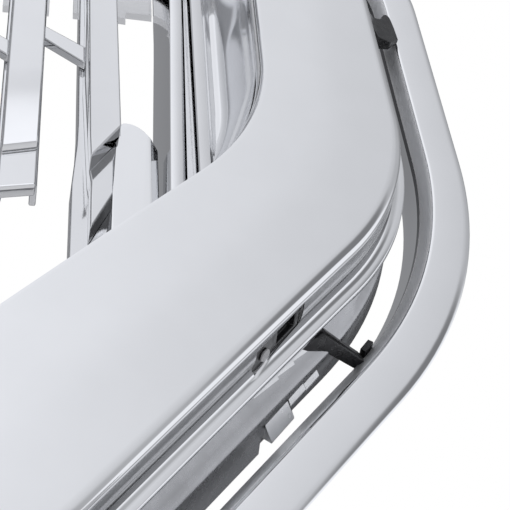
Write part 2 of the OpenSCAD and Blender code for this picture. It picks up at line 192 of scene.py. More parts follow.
def plastic(name, c0, c1, r0, r1, grain=0.12, gscale=1400.0):
    m, nt, b = new_mat(name)
    n1 = add_noise(nt, 60.0, 4.0)
    col = ramp(nt, n1.outputs["Fac"], 0.3, 0.75, (*c0, 1), (*c1, 1))
    nt.links.new(col.outputs["Color"], b.inputs["Base Color"])
    n2 = add_noise(nt, 300.0, 3.0)
    ro = maprange(nt, n2.outputs["Fac"], 0.3, 0.7, r0, r1)
    nt.links.new(ro.outputs[0], b.inputs["Roughness"])
    v = nt.nodes.new("ShaderNodeTexVoronoi")
    v.inputs["Scale"].default_value = gscale
    tc = nt.nodes.new("ShaderNodeTexCoord")
    nt.links.new(tc.outputs["Object"], v.inputs["Vector"])
    bp = nt.nodes.new("ShaderNodeBump")
    bp.inputs["Strength"].default_value = grain
    bp.inputs["Distance"].default_value = 0.0002
    nt.links.new(v.outputs["Distance"], bp.inputs["Height"])
    nt.links.new(bp.outputs["Normal"], b.inputs["Normal"])
    return m


def zinc(name, c0, c1, r0, r1):
    m, nt, b = new_mat(name)
    b.inputs["Metallic"].default_value = 1.0
    v = nt.nodes.new("ShaderNodeTexVoronoi")
    v.inputs["Scale"].default_value = 260.0
    tc = nt.nodes.new("ShaderNodeTexCoord")
    nt.links.new(tc.outputs["Object"], v.inputs["Vector"])
    col = ramp(nt, v.outputs["Color"], 0.1, 0.9, (*c0, 1), (*c1, 1))
    nt.links.new(col.outputs["Color"], b.inputs["Base Color"])
    n2 = add_noise(nt, 500.0, 4.0)
    ro = maprange(nt, n2.outputs["Fac"], 0.3, 0.7, r0, r1)
    nt.links.new(ro.outputs[0], b.inputs["Roughness"])
    bp = nt.nodes.new("ShaderNodeBump")
    bp.inputs["Strength"].default_value = 0.08
    bp.inputs["Distance"].default_value = 0.0003
    nt.links.new(n2.outputs["Fac"], bp.inputs["Height"])
    nt.links.new(bp.outputs["Normal"], b.inputs["Normal"])
    return m


M_FACE = chrome("chrome_face")
M_BAR = chrome("chrome_bars", base=(0.80, 0.804, 0.815), dark=(0.775, 0.779, 0.79), r0=0.05, r1=0.12)
M_BACK = chrome("chrome_carrier", base=(0.47, 0.474, 0.487), dark=(0.41, 0.413, 0.424), r0=0.24, r1=0.34, bump=0.01)
# Darkened copies of the face chrome, laid as thin sheets on the stepped wall and in the trim groove: painted shade at
# full and half strength.
M_WALL_PAINTED_SHADE = chrome("chrome_step_wall_painted_shade", base=(0.54, 0.545, 0.555), dark=(0.50, 0.505, 0.515), r0=0.14, r1=0.20, bump=0.004)
M_SATIN = chrome("chrome_satin_bevel", base=(0.93, 0.935, 0.945), dark=(0.90, 0.905, 0.915), r0=0.50, r1=0.58, bump=0.004)
M_STEP_PAINTED_SHADE = chrome("chrome_shaded_step", base=(0.13, 0.132, 0.138), dark=(0.10, 0.102, 0.107), r0=0.16, r1=0.24, bump=0.004)
M_STEP_PAINTED_HALF_SHADE = chrome("chrome_half_shaded_step", base=(0.24, 0.243, 0.25), dark=(0.20, 0.203, 0.21), r0=0.16, r1=0.24, bump=0.004)
M_PANEL = chrome("chrome_gusset", base=(0.76, 0.765, 0.775), dark=(0.71, 0.715, 0.725), r0=0.26, r1=0.34, bump=0.01)
M_BLACK = plastic("black_clip_plastic", (0.006, 0.006, 0.007), (0.016, 0.016, 0.018), 0.22, 0.42, 0.06)
M_DARK = plastic("dark_grained_plastic", (0.018, 0.018, 0.02), (0.035, 0.035, 0.038), 0.45, 0.65, 0.25)
M_ZINC = zinc("zinc_sheet", (0.50, 0.51, 0.53), (0.68, 0.69, 0.70), 0.28, 0.45)
M_SCREW = zinc("zinc_screw", (0.42, 0.43, 0.45), (0.6, 0.6, 0.61), 0.22, 0.38)
M_RIVET = plastic("pale_rivet", (0.42, 0.42, 0.43), (0.55, 0.55, 0.56), 0.3, 0.5, 0.05)

# ---------------------------------------------------------------- mesh helpers


def make(name, bm, mat, node=None, smooth=35.0):
    bmesh.ops.remove_doubles(bm, verts=bm.verts, dist=1e-7)
    bmesh.ops.recalc_face_normals(bm, faces=bm.faces)
    me = bpy.data.meshes.new(name)
    lim = math.radians(smooth)
    for e in bm.edges:
        if len(e.link_faces) == 2 and e.calc_face_angle(0) > lim:
            e.smooth = False
    for f in bm.faces:
        f.smooth = True
    bm.to_mesh(me)
    bm.free()
    o = bpy.data.objects.new(name, me)
    bpy.context.scene.collection.objects.link(o)
    me.materials.append(mat)
    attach(o, "root")
    if node:
        for n in ([node] if isinstance(node, str) else node):
            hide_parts(n)
    return o


def sweep(bm, So, Si, prof, sel=None, closed=True):
    """Sweeps a closed profile round the outlines. A profile point is (m, o, s): m 0 on the inner
    outline, 1 on the outer, between them mixed; o outward offset; s depth."""
    N = len(So)
    rows = []
    idx = range(N) if sel is None else sel
    for i in idx:
        a, b = Si[i], So[i]
        row = []
        for m, o, s in prof:
            if m <= 0:
                x, z = a[0] + a[2] * o, a[1] + a[3] * o
            elif m >= 1:
                x, z = b[0] + b[2] * o, b[1] + b[3] * o
            else:
                x, z = a[0] + (b[0] - a[0]) * m, a[1] + (b[1] - a[1]) * m
            row.append(bm.verts.new(W(x, s, z)))
        rows.append(row)
    P = len(prof)
    cnt = len(rows)
    for i in range(cnt if closed else cnt - 1):
        r0, r1 = rows[i], rows[(i + 1) % cnt]
        for k in range(P):
            bm.faces.new((r0[k], r0[(k + 1) % P], r1[(k + 1) % P], r1[k]))
    if not closed:
        bm.faces.new(rows[0])
        bm.faces.new(list(reversed(rows[-1])))


def prism(bm, pts, s0, s1, mat4):
    """Front-view polygon (x, z) between two depths."""
    f = [bm.verts.new(mat4 @ Vector((p[0], s0, p[1]))) for p in pts]
    b = [bm.verts.new(mat4 @ Vector((p[0], s1, p[1]))) for p in pts]
    bm.faces.new(f)
    bm.faces.new(list(reversed(b)))
    n = len(pts)
    for i in range(n):
        bm.faces.new((f[i], b[i], b[(i + 1) % n], f[(i + 1) % n]))


def column(bm, pts, z0, z1, mat4):
    """Plan polygon (x, s) between two heights."""
    f = [bm.verts.new(mat4 @ Vector((p[0], p[1], z0))) for p in pts]
    b = [bm.verts.new(mat4 @ Vector((p[0], p[1], z1))) for p in pts]
    bm.faces.new(f)
    bm.faces.new(list(reversed(b)))
    n = len(pts)
    for i in range(n):
        bm.faces.new((f[i], b[i], b[(i + 1) % n], f[(i + 1) % n]))


def bevel(o, w, seg=3, ang=30, wn=True):
    m = o.modifiers.new("bevel", "BEVEL")
    m.width = w * S
    m.segments = seg
    m.limit_method = "ANGLE"
    m.angle_limit = math.radians(ang)
    m.use_clamp_overlap = True
    m.harden_normals = False
    if wn:
        n = o.modifiers.new("wn", "WEIGHTED_NORMAL")
        n.keep_sharp = True
        n.weight = 80
    return o


def apply_mods(o):
    dg = bpy.context.evaluated_depsgraph_get()
    me = bpy.data.meshes.new_from_object(o.evaluated_get(dg))
    o.modifiers.clear()
    o.data = me


def temp(bm, name="cutter"):
    bmesh.ops.recalc_face_normals(bm, faces=bm.faces)
    me = bpy.data.meshes.new(name)
    bm.to_mesh(me)
    bm.free()
    o = bpy.data.objects.new(name, me)
    bpy.context.scene.collection.objects.link(o)
    return o


def boolean(o, cutter, op):
    m = o.modifiers.new("b", "BOOLEAN")
    m.operation = op
    m.solver = "EXACT"
    m.object = cutter
    apply_mods(o)
    bpy.data.objects.remove(cutter, do_unlink=True)


def resharp(o, ang):
    me = o.data
    bm = bmesh.new()
    bm.from_mesh(me)
    bmesh.ops.remove_doubles(bm, verts=bm.verts, dist=1e-6)
    bmesh.ops.dissolve_degenerate(bm, edges=bm.edges, dist=1e-6)
    for e in bm.edges:
        e.smooth = not (len(e.link_faces) == 2 and e.calc_face_angle(0) > math.radians(ang))
    for f in bm.faces:
        f.smooth = True
    bm.to_mesh(me)
    bm.free()


def arc_pts(m, o0, s0, r, a0, a1, n):
    """Rounded edge: centre (o0, s0), angles in the (o, s) plane."""
    return [(m, o0 + r * math.cos(math.radians(a0 + (a1 - a0) * k / n)), s0 + r * math.sin(math.radians(a0 + (a1 - a0) * k / n))) for k in range(n + 1)]


# ---------------------------------------------------------------- surround shell
So, Si = stations(L_OUT), stations(L_IN)


def face_s(m):
    a = max(0.0, m - 0.5)
    return -2.0 + 2.3 * (a * a / 0.12 if a < 0.06 else a - 0.03) / 0.47 + (1.5 * (1 - m / 0.05) ** 2 if m < 0.05 else 0)


prof = [(0, 0, 28), (0, 0, 16), (0, 0, 6)]
prof += [(0, 0.0, 4.6), (0, 0.25, 3.5), (0, 0.9, 2.5), (0, 1.9, 1.75)]
prof += [(m, 0, face_s(m)) for m in (0.045, 0.07, 0.11, 0.16, 0.22, 0.3, 0.4, 0.5, 0.6, 0.7, 0.78, 0.84, 0.89, 0.93, 0.955)]
prof += [(1, -1.3, 0.85), (1, -0.7, 1.2), (1, -0.25, 1.8), (1, 0, 2.7)]
prof += [(1, 0, 5), (1, 0, 7.5), (1, -0.06, 9.5), (1, -0.24, 11.5), (1, -0.52, 13.5), (1, -0.84, 15), (1, -1.26, 16.5), (1, -1.42, 17.3), (1, -1.42, 18.0), (1, -1.1, 18.8),
         (1, -0.4, 19.6), (1, 0.5, 20.2), (1, 1.4, 20.55), (1, 1.9, 20.65), (1, 2.15, 20.7), (1, 4.1, 20.8), (1, 4.45, 20.95), (1, 4.6, 21.3), (1, 4.6, 23.6), (1, 4.3, 24.15), (1, 1.2, 24.4), (1, 0.2, 25.2), (1, 0, 28)]
prof += [(1, -3, 28), (1, -3, 12), (1, -3.2, 8)]
prof += [(m, 0, face_s(m) + 3.2) for m in (0.92, 0.8, 0.65, 0.5, 0.35, 0.2, 0.08)]
prof += [(0, 3.2, 8), (0, 3, 28)]
bm = bmesh.new()
sweep(bm, So, Si, prof)
surround = make("surround_shell", bm, M_FACE, "main_surround", 50)
for m in (Matrix.Identity(4), FLIP):
    for u in (97,):
        c = bmesh.new()
        column(c, [(-9, 5.5), (4, 5.5), (4, 19), (-9, 19)], -16, 16, m @ on_slant(OUT_SLANT, u))
        boolean(surround, temp(c), "DIFFERENCE")
resharp(surround, 50)

# ---------------------------------------------------------------- outer trim ring
To, Ti = stations(L_TO), stations(L_TI)


def trim_f(m):
    t = abs(2 * m - 1)
    return TRIM_S - 0.9 + 0.35 * t ** 2 + 0.25 * t ** 8


tp = [(0, -9, 68), (0, -9, 66.5), (0, -8.4, 64), (0, -6.9, 59.5), (0, -5.3, 55), (0, -4.2, 51.6), (0, -3.8, 50.0), (0, -3.4, 49.0), (0, -0.6, 45.6), (0, 0.1, 44.8), (0, 0.9, 44.1)]
tp += [(m, 0, trim_f(m)) for m in (0.09, 0.14, 0.22, 0.32, 0.45, 0.58, 0.7, 0.8, 0.87)]
tp += [(1, -1.4, 43.75), (1, -0.65, 43.95), (1, -0.32, 44.35), (1, -0.6, 45.2), (1, -2.6, 49.2), (1, -6.6, 56.4), (1, -10.6, 63.4), (1, -12.7, 67.2), (1, -13.1, 68), (1, -15.2, 68), (1, -10.2, 57), (1, -7, 51)]
tp += [(m, 0, trim_f(m) + 4) for m in (0.6, 0.45, 0.3, 0.14)]
tp += [(0, -1.2, 50.6), (0, -2.6, 55.5), (0, -5.2, 62.5), (0, -6.3, 68)]
bm = bmesh.new()
sweep(bm, To, Ti, tp)
trim = make("outer_trim_ring", bm, M_FACE, "outer_trim", 50)
bm = bmesh.new()
sweep(bm, To, Ti, [(0, 1.0, 43.98), (0, 0.05, 44.7), (0, -0.7, 45.5), (0, -3.5, 48.9), (0, -4.0, 50.2), (0, -3.7, 50.2), (0, -3.2, 49.1), (0, -0.4, 45.8), (0, 0.35, 45.1), (0, 1.1, 44.3)])
make("outer_trim_inner_bevel", bm, M_SATIN, "outer_trim", 50)
# A dark sheet laid in the trim's inner groove: painted shadow.
bm = bmesh.new()
sweep(bm, To, Ti, [(0, -4.0, 50.3), (0, -4.35, 51.6), (0, -4.75, 53.0), (0, -4.4, 53.0), (0, -4.0, 51.6), (0, -3.7, 50.3)])
make("outer_trim_shadow_groove", bm, M_STEP_PAINTED_SHADE, "outer_trim", 50)
# Thin sheets of darkened chrome laid on the stepped wall and cut at the clip windows: painted shade bands.
for nm_, pr_, mt_ in (("surround_step_wall_painted_shade", [(0, 3.8), (0, 7.5), (-0.06, 9.5), (-0.22, 11.4)], M_WALL_PAINTED_SHADE), ("surround_step_upper_painted_half_shade", [(-0.24, 11.6), (-0.52, 13.5), (-0.69, 14.3)], M_STEP_PAINTED_HALF_SHADE), ("surround_step_middle_painted_shade", [(-0.69, 14.35), (-0.84, 15), (-1.26, 16.5), (-1.42, 17.3)], M_STEP_PAINTED_SHADE), ("surround_step_lower_painted_half_shade", [(-1.42, 17.35), (-1.42, 18.0), (-1.1, 18.8), (-0.4, 19.6)], M_STEP_PAINTED_HALF_SHADE)):
    bm = bmesh.new()
    sweep(bm, So, Si, [(1, o_ + 0.06, s_) for o_, s_ in pr_] + [(1, o_ - 0.25, s_) for o_, s_ in reversed(pr_)])
    shade_sheet = make(nm_, bm, mt_, "main_surround", 50)
    for m_ in (Matrix.Identity(4), FLIP):
        c_ = bmesh.new()
        column(c_, [(-9, 5.5), (4, 5.5), (4, 19), (-9, 19)], -16, 16, m_ @ on_slant(OUT_SLANT, 97))
        boolean(shade_sheet, temp(c_), "DIFFERENCE")
    resharp(shade_sheet, 50)

# ---------------------------------------------------------------- rear carrier
Co, Ci = stations(L_CO), stations(L_CI)
bm = bmesh.new()
N = len(Co)
rows = []
cp = [("i", 0, 28), ("i", 0, 51.4), ("i", 0.5, 52), ("i", 3, 52), ("i", 3, 34), ("i", 5, 32), ("o", -6, 32), ("o", -4, 33.5), ("o", -4, 37.5), ("c", -3, 38.5), ("c", -3, 52), ("c", -0.5, 52), ("c", 0, 51.5),
      ("c", 0, 36.6), ("c", -0.3, 35.6), ("c", -1.2, 34.9), ("c", -3.2, 33.6), ("o", 1.2, 31.4), ("o", -0.4, 29.6), ("o", -1, 28)]
for i in range(N):
    row = []
    for k, o, s in cp:
        a = {"i": Ci[i], "o": So[i], "c": Co[i]}[k]
        row.append(bm.verts.new(W(a[0] + a[2] * o, s, a[1] + a[3] * o)))
    rows.append(row)
for i in range(N):
    r0, r1 = rows[i], rows[(i + 1) % N]
    for k in range(len(cp)):
        bm.faces.new((r0[k], r0[(k + 1) % len(cp)], r1[(k + 1) % len(cp)], r1[k]))
carrier = make("rear_carrier_ring", bm, M_BACK, "surround_carrier", 50)

# deeper skirt and sloped gussets on the lower slanted wall
sk = [i for i in range(N) if (lambda a: abs(a[0] * math.cos(math.radians(OUT_ANG)) - a[1] * math.sin(math.radians(OUT_ANG)) - OUT_SLANT - CAR_OUT) < 0.3 and -17.5 < a[0] * math.sin(math.radians(OUT_ANG)) + a[1] * math.cos(math.radians(OUT_ANG)) < 80)(Co[i])]
for sx, nm in ((1, "right"), (-1, "left")):
    bm = bmesh.new()
    St = Co if sx > 0 else [(-q[0], q[1], -q[2], q[3]) for q in Co]
    sweep(bm, St, St, [(0, 0.02, 36.5), (0, 0.02, 58.4), (0, -0.5, 59), (0, -2.5, 59), (0, -3, 58.4), (0, -3, 50), (0, -1, 36.5)], sk, closed=False)
    make("carrier_skirt_" + nm, bm, M_BACK, "surround_carrier")
bm = bmesh.new()
for m in (Matrix.Identity(4), FLIP):
    for a, b, o1, s1 in ((80, 96, 12, 51), (96, 107, 9.6, 45), (107, 117, 9.6, 45)):
        column(bm, [(-1.5, 30), (1, 30), (o1, s1 - 1), (o1, s1), (5.5, s1), (5.5, 37), (-1.5, 34)], -(b - a) / 2, (b - a) / 2, m @ on_slant(OUT_SLANT, (a + b) / 2))
gussets = bevel(make("carrier_gussets", bm, M_PANEL, "surround_carrier"), 0.4, 2)
bm = bmesh.new()
for sx in (1, -1):
    for x, z, w, h in ((230, 222, 30, 12), (300, 60, 12, 34), (130, -190, 26, 20)):
        f = bow(x + (w / 2)) if sx else 0
        y0 = bow(x) + 30.5
        xs = (sx * (x - w / 2), sx * (x + w / 2))
        pts = [(min(xs), z - h / 2), (max(xs), z - h / 2), (max(xs), z + h / 2), (min(xs), z + h / 2)]
        prism(bm, pts, y0, 84, Matrix.Scale(S, 4) @ Matrix.Translation((0, -YC, -ZC)))
pads = bevel(make("carrier_pads", bm, M_BACK, "surround_carrier"), 0.8, 2)

# ---------------------------------------------------------------- bars


def end_z(x):
    return BAR_END - 2.7 if abs(x) > 5.5 * PITCH else BAR_END - 38 * (1 - abs(x) / (5 * PITCH))


def side_profile(bm, prof, x0, x1, slant, mat4):
    """Closed (s, z) profile between two x; slant raises z with x below the marked points."""
    w = (x1 - x0)
    a, b = [], []
    for s, z, k in prof:
        a.append(bm.verts.new(mat4 @ Vector((x0, s, z - slant * k))))
        b.append(bm.verts.new(mat4 @ Vector((x1, s, z + slant * k))))
    n = len(prof)
    bm.faces.new(a)
    bm.faces.new(list(reversed(b)))
    for i in range(n):
        bm.faces.new((a[i], b[i], b[(i + 1) % n], a[(i + 1) % n]))


inner_prism_pts = [(p[0], p[1]) for p in Si]
for k in range(1, 14):
    x = (k - 7) * PITCH
    last = abs(x) > 5.5 * PITCH
    w = BAR_W / 2
    sl = 0 if abs(x) < 1 else 2.2
    z1 = end_z(x)
    z2 = z1 - TIER_DROP
    M = at_bow(x) @ (Matrix.Identity(4) if x >= 0 else FLIP_MM)
    nm = "bar_%02d" % k
    bm = bmesh.new()
    if last:
        prism(bm, [(-5.7, z1 - 10.4), (6.9, z1 + 10.4), (5.1, 110), (3.6, IN_TOP), (-9.2, IN_TOP), (-7.9, 107), (-6.4, 19)], 14, 23.1, M)
    else:
        side_profile(bm, [(14, z1 + 41, 0.6), (14.35, z1 + 37, 0.7), (15.4, z1 + 31, 0.8), (17.2, z1 + 23, 0.9), (20.0, z1 + 13, 1), (22.4, z1 + 5.5, 1), (23.6, z1 + 2.4, 1), (24.8, z1 + 0.7, 1), (26, z1, 1), (27.2, z1, 1), (27.2, IN_TOP, 0), (14, IN_TOP, 0)], -w, w, sl, M)
    bevel(make(nm + "_front", bm, M_BAR, nm), 0.7, 3)
    bm = bmesh.new()
    if last:
        prism(bm, [(-4.7, -34), (4.9, -11.5), (4.9, 8), (6.9, 16), (5.1, 110), (3.6, IN_TOP), (-9.9, IN_TOP), (-8.25, 112), (-8.25, 60), (-6.4, 19), (-5.5, 0), (-4.7, -6)], 23, 33, M)
    else:
        side_profile(bm, [(27, z2 + 2.5, 0.8), (27.6, z2 + 1.0, 0.8), (28.8, z2 + 0.15, 0.8), (30, z2, 0.8), (33, z2, 0.8), (33, IN_TOP, 0), (27, IN_TOP, 0)], -w - 0.7, w, sl, M)
    bevel(make(nm + "_lower_tier", bm, M_BAR, nm), 0.8, 3)
    bm = bmesh.new()
    if last:
        prism(bm, [(-12.2, -75), (7.7, -75), (7.7, 8), (6, IN_TOP + 18), (-11.5, IN_TOP + 18), (-10, 41), (-10.3, 27), (-11.2, 14), (-12, 2)], 33, 45, M)
    else:
        column(bm, [(-w - 2.2, 33), (w + 0.8, 33), (w + 0.8, 45), (w - 2.2, 45), (w - 2.2, 36), (-w + 2.2, 36), (-w + 0.8, 45), (-w - 2.2, 45)], z2 + 8, IN_TOP + 18, M)
    o = make(nm + "_web", bm, M_BAR, nm)
    if last:
        c = bmesh.new()
        prism(c, inner_prism_pts, -20, 125, Matrix.Scale(S, 4) @ Matrix.Translation((0, -YC, -ZC)))
        c2 = temp(c)
        bmx = bmesh.new()
        prism(bmx, [(-300, 100), (300, 100), (300, 210), (-300, 210)], -20, 125, Matrix.Scale(S, 4) @ Matrix.Translation((0, -YC, -ZC)))
        boolean(c2, temp(bmx), "UNION")
        boolean(o, c2, "INTERSECT")
        resharp(o, 35)
    bevel(o, 0.7, 2)

# ---------------------------------------------------------------- link plates
bm = bmesh.new()
g = PITCH / 2 - BAR_W / 2
for m in (Matrix.Identity(4), FLIP):
    for k in range(6):
        prism(bm, [(-g, 103.5), (-g, 93.5), (g - 0.75, 78.5), (g - 0.75, 90)], 28, 32.9, m @ at_bow((k + 0.5) * PITCH))
links = bevel(make("bar_link_plates", bm, M_BAR, "bar_links"), 0.8, 3)

# ---------------------------------------------------------------- end panels
pf = [(231, 45), (237.2, 15.2), (237.5, 14.4), (238.2, 14), (242.6, 14), (243.2, 14.4), (244.4, 18), (244.7, 31), (247, 31),
      (247.4, 15.4), (247.8, 14.4), (248.4, 14), (252.4, 14), (253, 14.3), (254.6, 18), (255.4, 27), (256.6, 31.5), (259, 33), (262, 33.4), (269, 33.0)]
pb = [(269, 35.6), (261, 37), (255, 37), (252.5, 34), (251.4, 20), (250.2, 18), (250, 34), (241.6, 34), (241.2, 20), (239.8, 18), (234, 45)]


def lean_x(x, z):
    """The inner rib leans a little inwards towards its foot."""
    k = max(0.0, min(1.0, (247.2 - x) / 4.0))
    return x + k * (0.6 - 2.7 * (115 - max(-60.0, min(115.0, z))) / 130)


for sx, side in ((1, "right"), (-1, "left")):
    mm = Matrix.Identity(4) if sx > 0 else FLIP
    bm = bmesh.new()
    zs = [-120 + 302 * j / 24 for j in range(25)]
    rw = [[bm.verts.new(mm @ W(lean_x(p[0], z), p[1], z)) for p in pf + pb] for z in zs]
    for j in range(24):
        for i in range(len(rw[0])):
            i2 = (i + 1) % len(rw[0])
            bm.faces.new((rw[j][i], rw[j][i2], rw[j + 1][i2], rw[j + 1][i]))
    bm.faces.new(rw[0])
    bm.faces.new(list(reversed(rw[-1])))
    o = make("end_panel_" + side, bm, M_BAR, "side_panel_" + side)
    c = bmesh.new()
    prism(c, inner_prism_pts, -20, 125, Matrix.Scale(S, 4) @ Matrix.Translation((0, -YC, -ZC)))
    boolean(o, temp(c), "INTERSECT")
    resharp(o, 35)
        # concave side that rises from the panel floor to the edge of the stile
    n_arc, n_line = 20, 22
    first = (n_arc + n_line) * 1 + 2
    last_i = (n_arc + n_line) * 2 + n_arc
    sel = list(range(first, last_i))
    bp = [(0, -0.05, 5.0)]
    for j in range(1, 13):
        a = math.radians(90 * j / 12)
        bp.append((0, -16.5 * (1 - math.cos(a)) ** 0.8 - 0.05, 5.0 + 27.5 * math.sin(a)))
    bp += [(0, -16.5, 34.0)] + [(0, -16.5 * (1 - math.cos(math.radians(90 * j / 12))) - 0.05 + (1.8 if j < 12 else 0) * 0, 7.0 + 27 * math.sin(math.radians(90 * j / 12))) for j in range(11, 0, -1)] + [(0, -0.05, 7.0)]
    bm = bmesh.new()
    St = Si if sx > 0 else [(-q[0], q[1], -q[2], q[3]) for q in Si]
    sweep(bm, St, St, bp, sel, closed=False)
    o = make("end_panel_bowl_" + side, bm, M_BAR, "side_panel_" + side, 60)
    # tongue
    M = mm @ at_bow(222.5)
    bm = bmesh.new()
    column(bm, [(-9.6, 20.3), (-8, 20.0), (0, 19.95), (6.8, 20.0), (7.9, 20.25), (11.4, 24.4), (11.7, 25.2), (11.7, 30), (9.2, 30), (7.4, 23), (-9.6, 23)], -78, 40, M)
    o = make("tongue_" + side, bm, M_FACE, "panel_tongue_" + side)
    top = [(-9.9, -80), (12.5, -80), (12.5, 17.2), (11.7, 18.4), (9.5, 20.2), (7.8, 21.6), (6.4, 23.4), (4.8, 25.6), (3.0, 27.3), (1.0, 28.6), (-1.0, 29.3), (-2.8, 29.5), (-4.1, 29.2), (-4.8, 28.5), (-5.2, 27), (-5.2, 21), (-6.9, 17), (-8.4, -15)]
    c = bmesh.new()
    prism(c, top, 10, 40, M)
    boolean(o, temp(c), "INTERSECT")
    c = bmesh.new()
    prism(c, inner_prism_pts, -20, 125, Matrix.Scale(S, 4) @ Matrix.Translation((0, -YC, -ZC)))
    boolean(o, temp(c), "INTERSECT")
    resharp(o, 28)
    bevel(o, 0.5, 2, 28)

# ---------------------------------------------------------------- clips


I4 = Matrix.Identity(4)
both = (I4, FLIP)


def clip_profile(gap):
    return [(-1, 29.5), (gap - 1, 29.5), (gap, 31), (gap, TRIM_S + 7), (gap - 1.5, TRIM_S + 9), (gap - 4, TRIM_S + 9), (gap - 4, TRIM_S + 6.5),
            (gap - 2.5, TRIM_S + 5.5), (gap - 2.5, 34.9), (-1, 34.9)]


def clips(name, node, places, gap, w):
    bm = bmesh.new()
    for M in places:
        column(bm, clip_profile(gap), -w / 2, w / 2, M)
        # raised spine along the arm
        column(bm, [(0, 28.7), (gap - 2, 28.7), (gap - 1.4, 29.6), (0, 29.6)], -1.1, 1.1, M)
    o = bevel(make(name, bm, M_BLACK, node), 0.5, 3)
    return o




def hexa(bm, pts, M):
    """Solid from a closed loop of (x, s) points given at two heights each: (x, s, z0, z1)."""
    f = [bm.verts.new(M @ Vector((p[0], p[1], p[2]))) for p in pts]
    b = [bm.verts.new(M @ Vector((p[0], p[1], p[3]))) for p in pts]
    n = len(pts)
    bm.faces.new(f)
    bm.faces.new(list(reversed(b)))
    for i in range(n):
        bm.faces.new((f[i], b[i], b[(i + 1) % n], f[(i + 1) % n]))


bm = bmesh.new()
for m in both:
    MA = m @ on_slant(OUT_SLANT, 117) @ Matrix.Rotation(math.radians(-60), 4, "Y")
    hexa(bm, [(-2, 28.9, -3, 3), (1, 26.0, -3, 3), (8, 26.6, -3, 3), (29, 51.2, -3, 3), (30.6, 53.4, -2.6, 2.6), (30.6, 59.2, -2.6, 2.6), (29, 58.6, -3, 3), (8, 35.8, -3, 3), (-2, 34.3, -3, 3)], MA)
    hexa(bm, [(5, 25.5, -1.0, 1.0), (8.5, 25.7, -1.0, 1.0), (28, 49.6, -1.0, 1.0), (29, 51.4, -1.0, 1.0), (8, 27, -1.0, 1.0)], MA)
    St = Ti if m is I4 else [(-q[0], q[1], -q[2], q[3]) for q in Ti]
    ca, sa = math.cos(math.radians(OUT_ANG)), math.sin(math.radians(OUT_ANG))
    psel = [i for i in range(len(Ti)) if 139.5 < Ti[i][0] * sa + Ti[i][1] * ca < 153 and Ti[i][0] > 0]
    if len(psel) > 1:
        sweep(bm, St, St, [(0, -4.05, 46.4), (0, -6.6, 46.8), (0, -6.8, 53.4), (0, -4.05, 53.8)], psel, closed=False)
bevel(make("clip_arms_slanted", bm, M_BLACK, "trim_clips_slanted"), 0.5, 3)
for m, nm in ((I4, "right"), (FLIP, "left")):
    z = 152
    x = OUT_HALF / math.cos(math.radians(LEAN)) - z * math.tan(math.radians(LEAN))
    MC = m @ at_bow(x) @ Matrix.Translation((0, 0, z)) @ Matrix.Rotation(math.radians(-LEAN), 4, "Y")
    bm = bmesh.new()
    g = 20
    column(bm, [(-1, 29.5), (g - 5, 29.5), (g, 35), (g + 13.5, 40.3), (g + 13.5, 42.6), (g + 1.4, 42.6), (g, 44), (g, TRIM_S + 7), (g - 1.5, TRIM_S + 9), (g - 4, TRIM_S + 9), (g - 4, TRIM_S + 6.5), (g - 2.5, TRIM_S + 5.5), (g - 2.5, 38), (g - 5, 34.9), (-1, 34.9)], -20, 20, MC)
    o = make("clip_hook_side_" + nm, bm, M_BLACK, "trim_clips_side")
    c = bmesh.new()
    prism(c, [(-2, -9), (20.8, -13.9), (27.6, -13), (33.5, -6.6), (32.9, 2.5), (31.9, 9.4), (31.2, 11.1), (29.6, 11.8), (27.6, 10.2), (24.4, 4.5), (18, 1), (-2, 1)], 20, 60, MC)
    boolean(o, temp(c), "INTERSECT")
    resharp(o, 30)
    bevel(o, 0.6, 3)
clips("clip_arms_bottom", "trim_clips_bottom", [at_bow(x) @ Matrix.Translation((0, 0, -OUT_BOT)) @ Matrix.Rotation(math.radians(90), 4, "Y") for x in (-90, 0, 90)], 15, 20)
clips("clip_arms_top", "trim_clips_top", [at_bow(x) @ Matrix.Translation((0, 0, OUT_TOP)) @ Matrix.Rotation(math.radians(-90), 4, "Y") for x in (-180, 0, 180)], 9, 20)

bm = bmesh.new()
for m in both:
    for u in (97,):
        column(bm, [(-8.5, 5.5), (-2.4, 5.5), (-1.6, 6.4), (-1.6, 18.2), (-2.4, 19), (-8.5, 19)], -16, 16, m @ on_slant(OUT_SLANT, u))
body = make("clip_body_blocks", bm, M_BLACK, "clip_bodies")
for m in both:
    for u in (97,):
        c = bmesh.new()
        column(c, [(-4, 8), (1, 8), (1, 17), (-4, 17)], 1, 13, m @ on_slant(OUT_SLANT, u))
        boolean(body, temp(c), "DIFFERENCE")
resharp(body, 35)
bevel(body, 0.4, 3)

bm = bmesh.new()
for m in both:
    for u in (97,):
        M = m @ on_slant(OUT_SLANT, u) @ Matrix.Translation((-6, 15, -8)) @ Matrix.Rotation(math.radians(90), 4, "Y")
        n = 28
        rings = [(2.0, 0.0), (2.0, 4.8), (2.8, 4.8), (2.8, 5.3), (2.5, 5.65), (1.9, 5.85), (1.0, 5.97), (0.6, 5.7), (0.0, 5.6)]
        prev = None
        base = bm.verts.new(M @ Vector((0, 0, 0)))
        for r, h in rings:
            if r == 0:
                tipv = bm.verts.new(M @ Vector((0, 0, h)))
                for i in range(n):
                    bm.faces.new((prev[i], prev[(i + 1) % n], tipv))
                continue
            ring = [bm.verts.new(M @ Vector((r * math.cos(2 * math.pi * i / n), r * math.sin(2 * math.pi * i / n), h))) for i in range(n)]
            if prev is None:
                for i in range(n):
                    bm.faces.new((ring[(i + 1) % n], ring[i], base))
            else:
                for i in range(n):
                    bm.faces.new((prev[i], prev[(i + 1) % n], ring[(i + 1) % n], ring[i]))
            prev = ring
make("clip_rivet_heads", bm, M_RIVET, "clip_rivets")

